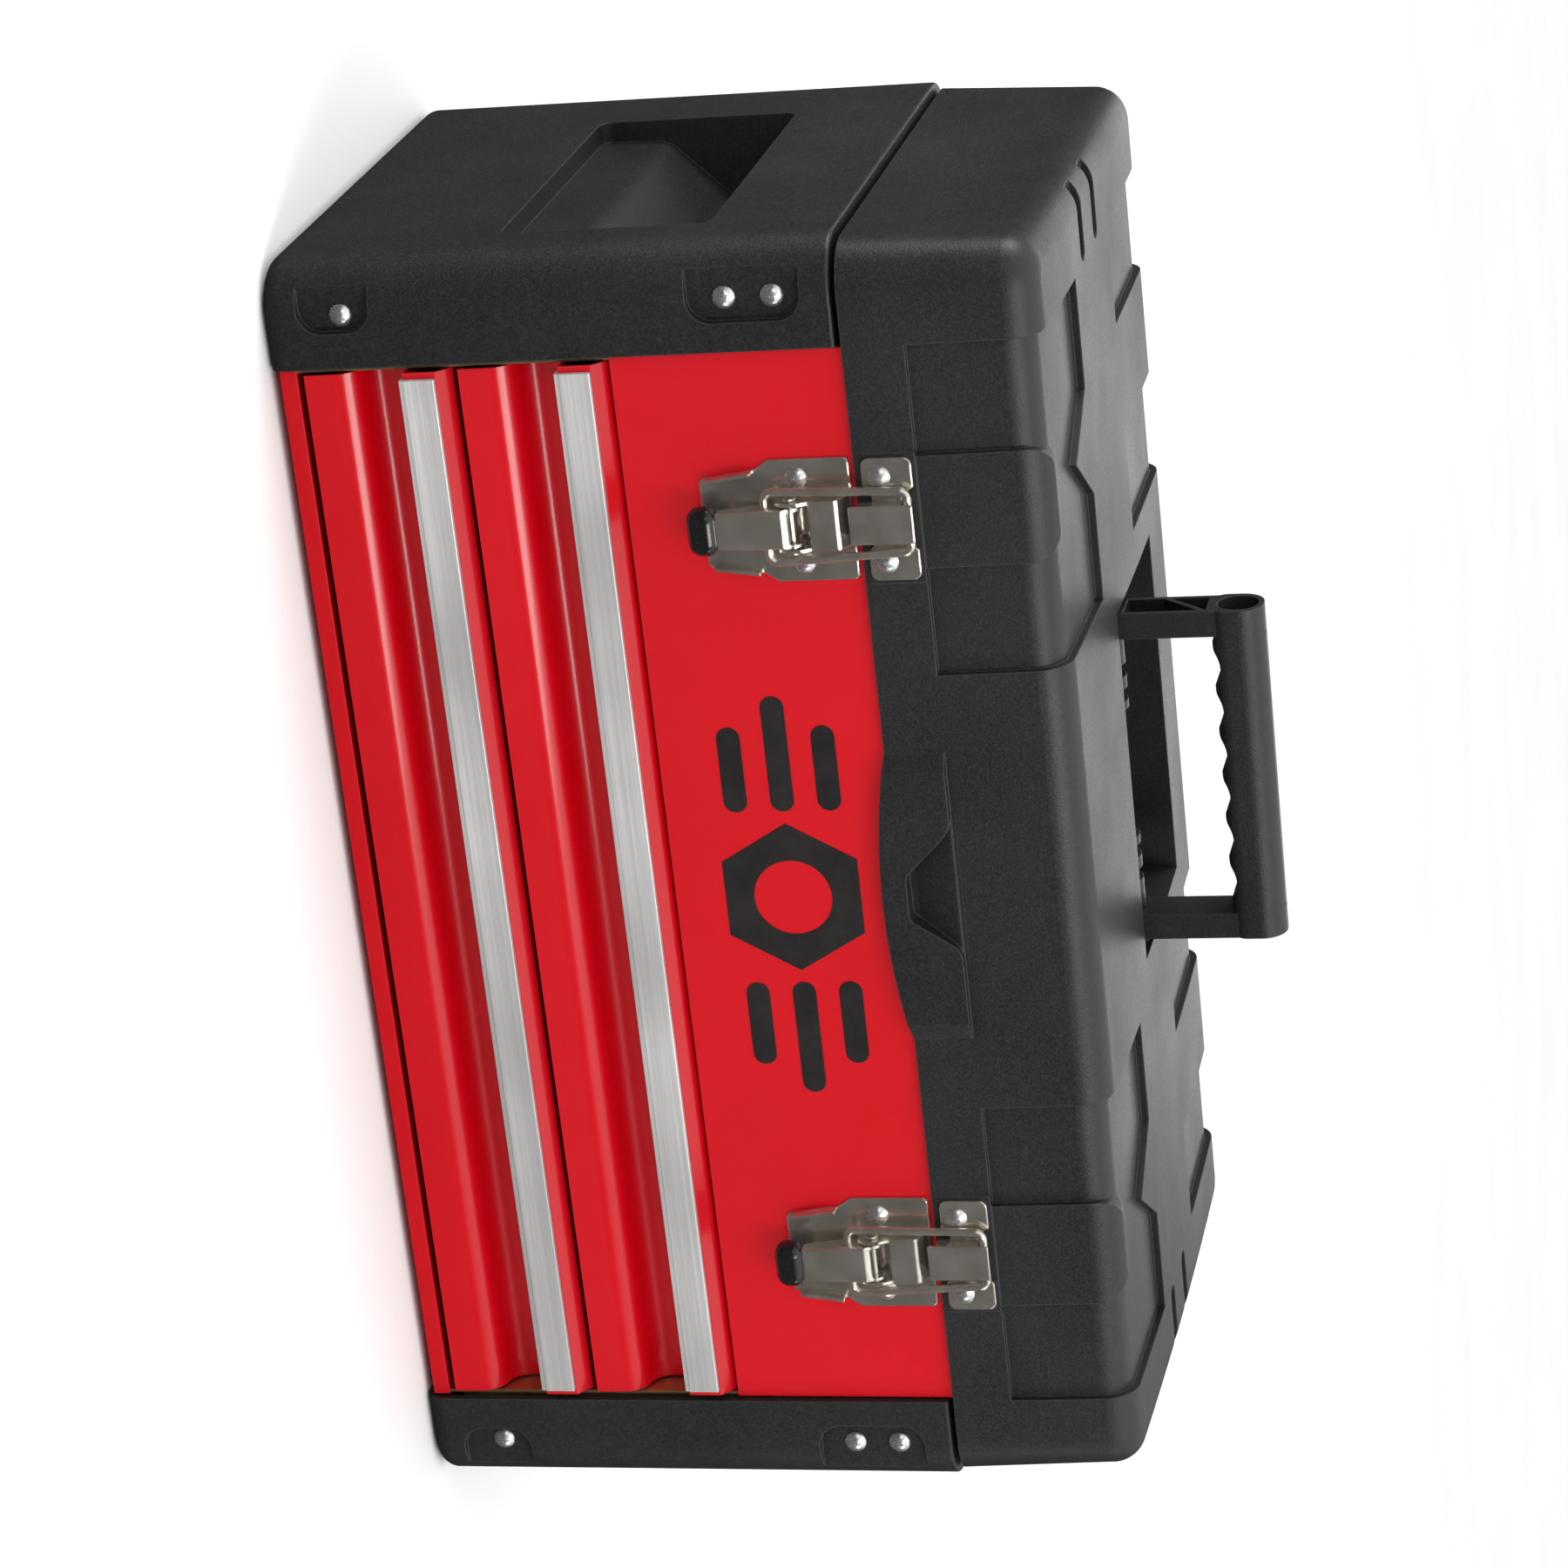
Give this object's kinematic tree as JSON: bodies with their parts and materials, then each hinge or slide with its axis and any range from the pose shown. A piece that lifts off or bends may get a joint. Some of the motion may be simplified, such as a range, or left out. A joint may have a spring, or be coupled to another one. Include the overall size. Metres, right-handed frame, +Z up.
{
  "type": "toolbox with tray",
  "caption": "Portable toolbox: steel body with ball-bearing drawers, moulded end caps, a hinged plastic lid with draw latches, a folding handle and a lift-out tray.",
  "frame": {"origin": "on the floor under the middle of the case", "axes": "+X along the case to the viewer's right, -Y out of the front, +Z up"},
  "size_m": [0.508, 0.2632, 0.343],
  "materials": {
    "red_paint": "gloss enamel",
    "zinc_steel": "yellow zinc plate",
    "black_plastic": "fine moulded grain",
    "tray_plastic": "fine moulded grain",
    "pull_aluminium": "brushed lengthwise",
    "slide_steel": "bright zinc plate",
    "latch_nickel": "satin nickel plate",
    "rivet_steel": "bright steel",
    "hinge_steel": "zinc plate",
    "tip_plastic": "gloss",
    "foam_liner": "closed-cell foam",
    "mark_print": "satin screen print"
  },
  "bodies": {
    "case": {"base_panel": "red_paint", "front_panel": "red_paint", "back_panel": "red_paint", "compartment_floor": "red_paint", "drawer_divider": "zinc_steel", "side_frame_left": "zinc_steel", "side_frame_right": "zinc_steel", "tray_ledges": "zinc_steel", "end_cap_left": "black_plastic", "end_cap_right": "black_plastic", "cap_rivets": "rivet_steel", "slide_rail_lower_left": "slide_steel", "slide_rail_lower_right": "slide_steel", "slide_rail_upper_left": "slide_steel", "slide_rail_upper_right": "slide_steel", "latch_base_left": "latch_nickel", "latch_base_right": "latch_nickel", "latch_pin_left": "latch_nickel", "latch_pin_right": "latch_nickel", "latch_base_rivets": "rivet_steel", "hinge_body_leaf_left": "hinge_steel", "hinge_body_leaf_right": "hinge_steel", "hinge_pin_left": "hinge_steel", "hinge_pin_right": "hinge_steel", "hinge_body_rivets": "rivet_steel", "front_mark": "mark_print"},
    "lid": {"lid_shell": "black_plastic", "latch_strike_left": "latch_nickel", "latch_strike_right": "latch_nickel", "latch_strike_rivets": "rivet_steel", "hinge_lid_leaf_left": "hinge_steel", "hinge_lid_leaf_right": "hinge_steel", "hinge_lid_rivets": "rivet_steel", "handle_pins": "rivet_steel"},
    "handle": {"handle": "black_plastic"},
    "lever_left": {"latch_lever_left": "latch_nickel", "latch_tip_left": "tip_plastic"},
    "lever_right": {"latch_lever_right": "latch_nickel", "latch_tip_right": "tip_plastic"},
    "bail_left": {"latch_bail_left": "latch_nickel"},
    "bail_right": {"latch_bail_right": "latch_nickel"},
    "drawer_upper": {"drawer_front_upper": "red_paint", "drawer_pull_upper": "pull_aluminium", "drawer_box_upper": "red_paint", "drawer_liner_upper": "foam_liner", "slide_runners_upper": "slide_steel"},
    "drawer_lower": {"drawer_front_lower": "red_paint", "drawer_pull_lower": "pull_aluminium", "drawer_box_lower": "red_paint", "drawer_liner_lower": "foam_liner", "slide_runners_lower": "slide_steel"},
    "cages_upper": {"ball_cages_upper": "slide_steel"},
    "cages_lower": {"ball_cages_lower": "slide_steel"},
    "tray": {"tote_tray": "tray_plastic"}
  },
  "joints": [
    {"name": "lid_hinge", "type": "hinge", "parent": "case", "child": "lid", "pos_m": [0, 0.1258, 0.2144], "axis": [-1, 0, 0], "range_deg": [0, 100]},
    {"name": "handle_fold", "type": "hinge", "parent": "lid", "child": "handle", "pos_m": [0, 0, 0.277], "axis": [-1, 0, 0], "range_deg": [0, 90]},
    {"name": "tray_lift", "type": "slide", "parent": "case", "child": "tray", "axis": [0, 0, 1], "range_m": [0, 0.042]},
    {"name": "lever_left_turn", "type": "hinge", "parent": "case", "child": "lever_left", "pos_m": [-0.1496, -0.126, 0.191], "axis": [-1, 0, 0], "range_deg": [0, 90]},
    {"name": "bail_left_turn", "type": "hinge", "parent": "lever_left", "child": "bail_left", "pos_m": [-0.1496, -0.1275, 0.182], "axis": [-1, 0, 0], "range_deg": [-80, 0]},
    {"name": "lever_right_turn", "type": "hinge", "parent": "case", "child": "lever_right", "pos_m": [0.1496, -0.126, 0.191], "axis": [-1, 0, 0], "range_deg": [0, 90]},
    {"name": "bail_right_turn", "type": "hinge", "parent": "lever_right", "child": "bail_right", "pos_m": [0.1496, -0.1275, 0.182], "axis": [-1, 0, 0], "range_deg": [-80, 0]},
    {"name": "drawer_upper_slide", "type": "slide", "parent": "case", "child": "drawer_upper", "axis": [0, -1, 0], "range_m": [0, 0.15]},
    {"name": "cages_upper_slide", "type": "slide", "parent": "case", "child": "cages_upper", "axis": [0, -1, 0], "range_m": [0, 0.075]},
    {"name": "drawer_lower_slide", "type": "slide", "parent": "case", "child": "drawer_lower", "axis": [0, -1, 0], "range_m": [0, 0.15]},
    {"name": "cages_lower_slide", "type": "slide", "parent": "case", "child": "cages_lower", "axis": [0, -1, 0], "range_m": [0, 0.075]}
  ],
  "couplings": [
    {"joint": "bail_left_turn", "follows": "lever_left_turn", "ratio": -0.88},
    {"joint": "bail_right_turn", "follows": "lever_right_turn", "ratio": -0.88},
    {"joint": "cages_upper_slide", "follows": "drawer_upper_slide", "ratio": 0.5},
    {"joint": "cages_lower_slide", "follows": "drawer_lower_slide", "ratio": 0.5}
  ]
}
